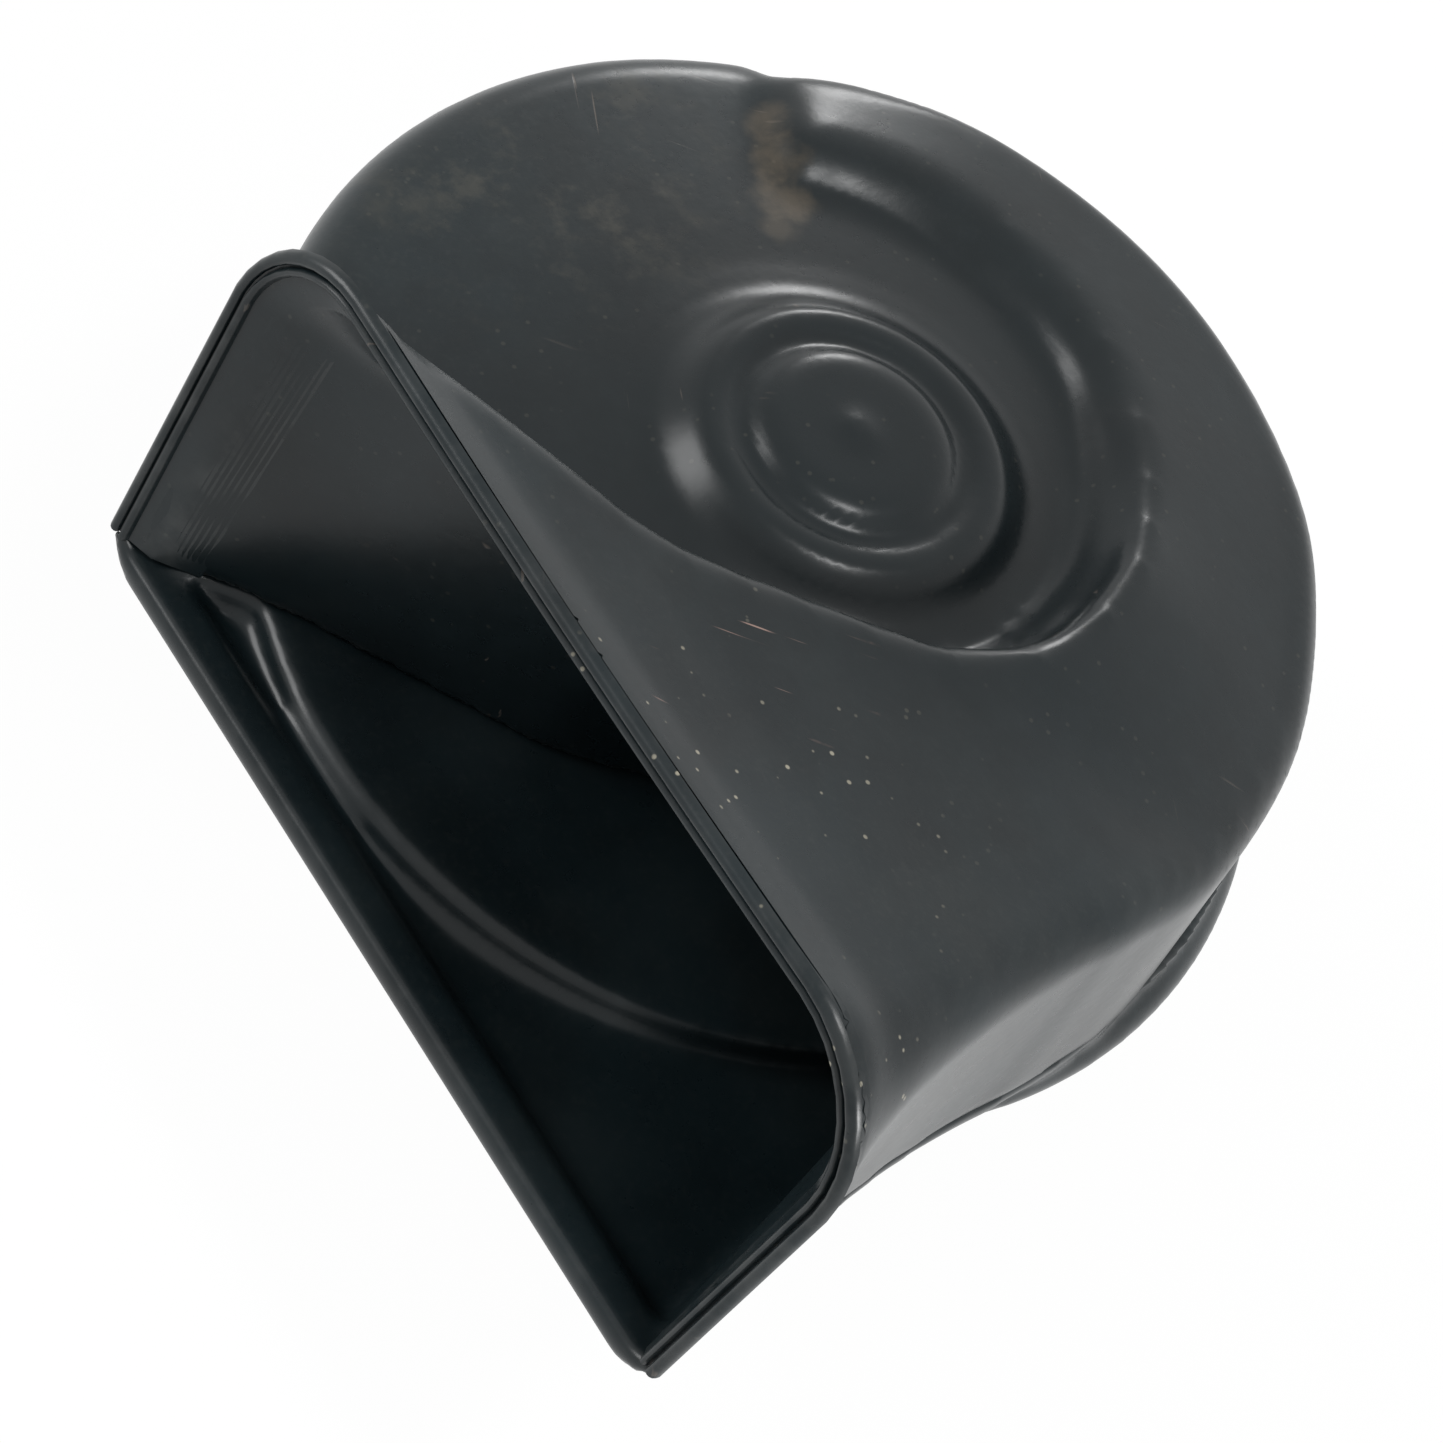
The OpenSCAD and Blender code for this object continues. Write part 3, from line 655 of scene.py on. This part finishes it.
def rubbed_and_blotched(tree, colour):
    """Reddish rub on the plateau, and dull blotches on the lobe."""
    where = maths(tree, "MAXIMUM", spot_at(tree, 17.5, -22, 11.5, 8, 0.3),
                  spot_at(tree, 18, -34.5, 14, 5, 0.3))
    rubbed = maths(tree, "MULTIPLY", lines_at(tree, 0.95, 1500.0, 0.3), where)
    colour = tinted(tree, rubbed, 0.8, colour, RUBBED)
    blotch = ramp(tree, noise(tree, place(tree), 150, 6, 0.65), 0.5, 0.66)
    lobe = maths(tree, "MULTIPLY", spot_at(tree, -34, -6, -2, 20, 0.3), blotch)
    return tinted(tree, lobe, 0.3, colour, BLOTCH)


def moulded_black(name, dust, gloss, worn):
    """Slate-black moulded plastic under a thin haze; worn on the front, and darker with less dust
    towards its middle.
    """
    material, tree, shader = start_material(name, ior=1.36)
    base = effect(tree, "uneven_tone", Colour=(0.0055, 0.0098, 0.0115, 1), Amount=0.6, Scale=55.0)
    if worn:
        # darker and less dusty towards the middle of the front
        darker_middle = spot_at(tree, 4, 4, 0, 50, 0.15)
        left = maths(tree, "SUBTRACT", 1.0, maths(tree, "MULTIPLY", darker_middle, 0.85))
        dust = maths(tree, "MULTIPLY", left, dust)
    dusty = effect(tree, "hazy_dust", Colour=base.outputs["Colour"], Dust=(0.072, 0.073, 0.066, 1),
                   Amount=dust, Scale=70.0)
    colour = dusty.outputs["Colour"]
    if worn:
        # the middle of the front is tinted towards near black
        colour = tinted(tree, darker_middle, 0.65, colour, MIDDLE_BLACK)
    mottle = noise(tree, place(tree), 900, 4, 0.6)
    roughness = maths(tree, "ADD", gloss, maths(tree, "MULTIPLY", dusty.outputs["Mask"], 0.5))
    roughness = maths(tree, "ADD", roughness, maths(tree, "MULTIPLY", mottle, 0.06))
    height = maths(tree, "MULTIPLY", mottle, 0.35)
    rub = effect(tree, "edge_rub", Width=0.05).outputs["Mask"]
    colour = tinted(tree, rub, 0.35, colour, (0.05, 0.053, 0.053, 1))
    if worn:
        colour, height = scratched(tree, colour, height)
        colour = specked(tree, colour)
        colour, roughness = stained(tree, colour, roughness)
        colour, height = pitted(tree, colour, height)
        colour = rubbed_and_blotched(tree, colour)
    close_material(tree, shader, colour, roughness, height, 0.00006)
    return material


def coated_steel(name, tint, gloss):
    """Black-coated sheet steel with rubbed edges and dull blotches."""
    material, tree, shader = start_material(name, ior=1.5)
    base = effect(tree, "uneven_tone", Colour=tint, Amount=0.5, Scale=90.0)
    dusty = effect(tree, "hazy_dust", Colour=base.outputs["Colour"], Dust=(0.07, 0.066, 0.06, 1),
                   Amount=0.12, Scale=90.0)
    rub = effect(tree, "edge_rub", Width=0.06).outputs["Mask"]
    colour = tinted(tree, rub, 0.2, dusty.outputs["Colour"], (0.28, 0.27, 0.25, 1))
    peel = noise(tree, place(tree), 1400, 3)
    roughness = maths(tree, "ADD", gloss, maths(tree, "MULTIPLY", base.outputs["Mask"], 0.15))
    close_material(tree, shader, colour, roughness, peel, 0.00003)
    return material


def plated_steel(name, tint, gloss, threaded=False):
    """Zinc or tin plate: dulled, brushed, with brown spots of old rust."""
    material, tree, shader = start_material(name, metallic=0.9)
    base = effect(tree, "uneven_tone", Colour=tint, Amount=0.45, Scale=140.0)
    rust = ramp(tree, noise(tree, place(tree), 210, 8, 0.7), 0.6, 0.7)
    lines = lines_at(tree, 0.2, 2200.0, 0.3)
    colour = tinted(tree, rust, 0.5, base.outputs["Colour"], (0.16, 0.075, 0.03, 1))
    colour = tinted(tree, lines, 0.4, colour, (0.7, 0.7, 0.68, 1))
    bare = maths(tree, "SUBTRACT", 0.95, maths(tree, "MULTIPLY", rust, 0.6))
    wire(tree, bare, shader.inputs["Metallic"])
    dull = maths(tree, "ADD", base.outputs["Mask"], rust)
    roughness = maths(tree, "ADD", gloss, maths(tree, "MULTIPLY", dull, 0.16))
    height = maths(tree, "SUBTRACT", noise(tree, place(tree), 800, 4),
                   maths(tree, "MULTIPLY", lines, 0.4))
    depth = 0.00004
    if threaded:
        spread = node(tree, "SeparateXYZ")
        wire(tree, place(tree), spread.inputs[0])
        turns = maths(tree, "SINE", maths(tree, "MULTIPLY", spread.outputs["Y"], 2 * math.pi / 0.00125))
        height, depth = maths(tree, "MULTIPLY", maths(tree, "ADD", turns, 1.0), 0.5), 0.0004
    close_material(tree, shader, colour, roughness, height, depth)
    return material


def dull_moulding(name, tint, gloss=0.5, grain=700.0):
    material, tree, shader = start_material(name, ior=1.5)
    base = effect(tree, "uneven_tone", Colour=tint, Amount=0.35, Scale=120.0)
    dusty = effect(tree, "hazy_dust", Colour=base.outputs["Colour"], Dust=(0.18, 0.17, 0.15, 1),
                   Amount=0.3, Scale=80.0)
    roughness = maths(tree, "ADD", gloss, maths(tree, "MULTIPLY", dusty.outputs["Mask"], 0.3))
    height = noise(tree, place(tree), grain, 4)
    close_material(tree, shader, dusty.outputs["Colour"], roughness, height, 0.00005)
    return material


def wound_copper():
    """Enamelled wire: fine turns round the bobbin, with painted shade in the grooves between turns."""
    material, tree, shader = start_material("enamelled_copper", metallic=0.85)
    base = effect(tree, "uneven_tone", Colour=(0.45, 0.16, 0.05, 1), Amount=0.5, Scale=200.0)
    spread = node(tree, "SeparateXYZ")
    wire(tree, place(tree), spread.inputs[0])
    turns = maths(tree, "SINE", maths(tree, "MULTIPLY", spread.outputs["Y"], 2 * math.pi / 0.0006))
    # painted shade: the colour darkens in the grooves between the turns of wire
    shade = ramp(tree, turns, -1.0, 0.2)
    colour = blended(tree, shade, (0.12, 0.03, 0.01, 1), base.outputs["Colour"])
    roughness = maths(tree, "ADD", 0.3, maths(tree, "MULTIPLY", base.outputs["Mask"], 0.2))
    close_material(tree, shader, colour, roughness, turns, 0.00015)
    return material


def make_materials():
    return {
        "trumpet": moulded_black("front_moulding", 0.13, 0.25, True),
        "trumpet_rear": moulded_black("rear_moulding", 0.08, 0.25, False),
        "gasket": dull_moulding("gasket_rubber", (0.02, 0.02, 0.02, 1), 0.7),
        "spring_steel": plated_steel("spring_sheet", (0.5, 0.5, 0.48, 1), 0.3),
        "black_steel": coated_steel("black_coat", (0.016, 0.016, 0.018, 1), 0.36),
        "zinc_steel": plated_steel("zinc_plate", (0.55, 0.55, 0.53, 1), 0.32),
        "bobbin": dull_moulding("bobbin_moulding", (0.55, 0.52, 0.42, 1)),
        "copper": wound_copper(),
        "insulator": dull_moulding("brown_laminate", (0.16, 0.07, 0.03, 1), 0.45, 1600.0),
        "brass": plated_steel("rolled_brass", (0.68, 0.48, 0.2, 1), 0.28),
        "contact": plated_steel("contact_metal", (0.62, 0.62, 0.64, 1), 0.22),
        "resistor": dull_moulding("ceramic_body", (0.4, 0.31, 0.19, 1), 0.6),
        "connector": dull_moulding("plug_moulding", (0.022, 0.022, 0.025, 1), 0.45),
        "bracket_steel": plated_steel("bracket_plate", (0.42, 0.42, 0.4, 1), 0.36),
        "thread": plated_steel("rolled_thread", (0.5, 0.5, 0.48, 1), 0.35, True),
    }


# ---------------------------------------------------------------- the horn

DRESSED = {"crimp_ring": 0.0, "body_pot": 0.0, "mounting_bracket": 0.00025,
           "connector_housing": 0.0003, "terminal_blades": 0.0001, "spring_washer": 0.0001,
           "stud_nut": 0.0003, "adjusting_screw": 0.0001, "breaker_rivet": 0.0002}


def build_horn(materials):
    slots = {row["node"]: row["material_slot"] for row in frame["record"]["subparts"]}
    for piece in (moulded_front(), duct_skin("mouth_rim", LAST - 1.2)):
        piece.data.materials.append(materials["trumpet"])
        settle_piece(piece, "housing", "trumpet_front_shell")
    rear = softened_rear_shell()
    rear.data.materials.append(materials["trumpet_rear"])
    settle_piece(rear, "housing", "trumpet_rear_shell")
    for name, bevel in DRESSED.items():
        piece = dressed(name, "housing", bevel)
        piece.data.materials.append(materials[slots[name]])
    for name, kept in frame["nodes"].items():
        if name in DRESSED or name.startswith("trumpet"):
            continue
        chosen = materials["thread"] if name == "pole_core" else materials[slots[name]]
        kept.data.materials.clear()
        kept.data.materials.append(chosen)


# ---------------------------------------------------------------- light, floor and camera

def seen_directly(tree):
    path = node(tree, "LightPath")
    seen = maths(tree, "MAXIMUM", path.outputs["Is Camera Ray"], path.outputs["Is Glossy Ray"])
    return maths(tree, "MAXIMUM", seen, path.outputs["Is Transmission Ray"])


def pale_room():
    world = bpy.data.worlds.new("pale_room")
    bpy.context.scene.world = world
    world.use_nodes = True
    tree = world.node_tree
    back = tree.nodes["Background"]
    back.inputs["Color"].default_value = (1, 1, 1, 1)
    extra = maths(tree, "MULTIPLY", seen_directly(tree), 0.45)
    wire(tree, maths(tree, "ADD", 0.55, extra), back.inputs["Strength"])


def pale_floor():
    """The horn lies on its back, so the floor is behind it. It shows from its upper side only."""
    bpy.ops.mesh.primitive_plane_add(size=4, location=(0, 0.0128, 0), rotation=(math.pi / 2, 0, 0))
    floor = bpy.context.object
    floor.name = "pale_floor"
    material, tree, shader = start_material("pale_floor")
    shader.inputs["Base Color"].default_value = (0.85, 0.85, 0.85, 1)
    shader.inputs["Roughness"].default_value = 0.9
    glow = node(tree, "Emission")
    mixed = node(tree, "MixShader")
    straight = maths(tree, "MULTIPLY", node(tree, "LightPath").outputs["Is Camera Ray"], 0.4)
    extra = maths(tree, "MULTIPLY", seen_directly(tree), 0.55)
    wire(tree, maths(tree, "ADD", straight, extra), mixed.inputs[0])
    tree.links.new(shader.outputs[0], mixed.inputs[1])
    tree.links.new(glow.outputs[0], mixed.inputs[2])
    one_sided = node(tree, "MixShader")
    tree.links.new(node(tree, "NewGeometry").outputs["Backfacing"], one_sided.inputs[0])
    tree.links.new(mixed.outputs[0], one_sided.inputs[1])
    tree.links.new(node(tree, "BsdfTransparent").outputs[0], one_sided.inputs[2])
    tree.links.new(one_sided.outputs[0], tree.nodes["Material Output"].inputs["Surface"])
    floor.data.materials.append(material)


def soft_lamp(name, place_at, aim, size, watts):
    lamp = bpy.data.lights.new(name, "AREA")
    lamp.shape, lamp.size, lamp.energy = "DISK", size, watts
    holder = bpy.data.objects.new(name, lamp)
    holder.location = place_at
    holder.rotation_euler = (Vector(aim) - Vector(place_at)).to_track_quat("-Z", "Y").to_euler()
    bpy.context.scene.collection.objects.link(holder)


def light_the_horn():
    soft_lamp("far_side", (-0.52, -0.26, 0.50), (0, -0.04, -0.058), 0.16, 1.0)
    soft_lamp("right_side", (0.66, -0.27, -0.04), (0, -0.045, -0.058), 0.16, 3.0)
    soft_lamp("mouth_side", (-0.40, -0.36, -0.44), (0, -0.03, -0.09), 0.34, 2.4)
    soft_lamp("above", (0.22, -0.75, -0.05), (0, -0.045, -0.058), 0.14, 1.6)


def photo_camera():
    lens = bpy.data.cameras.new("photo_camera")
    lens.lens, lens.sensor_width, lens.clip_start = 112.27, 36, 0.01
    camera = bpy.data.objects.new("photo_camera", lens)
    right, down = Vector((0.53306, -0.35649, 0.76731)), Vector((0.79204, 0.52916, -0.30439))
    turn = Matrix((right, -down, right.cross(-down))).transposed()
    camera.matrix_world = Matrix.Translation((0.11527, -0.30120, -0.26862)) @ turn.to_4x4()
    bpy.context.scene.collection.objects.link(camera)
    bpy.context.scene.camera = camera


bpy.context.scene.view_settings.view_transform = "Standard"
build_horn(make_materials())
pale_room()
pale_floor()
light_the_horn()
photo_camera()
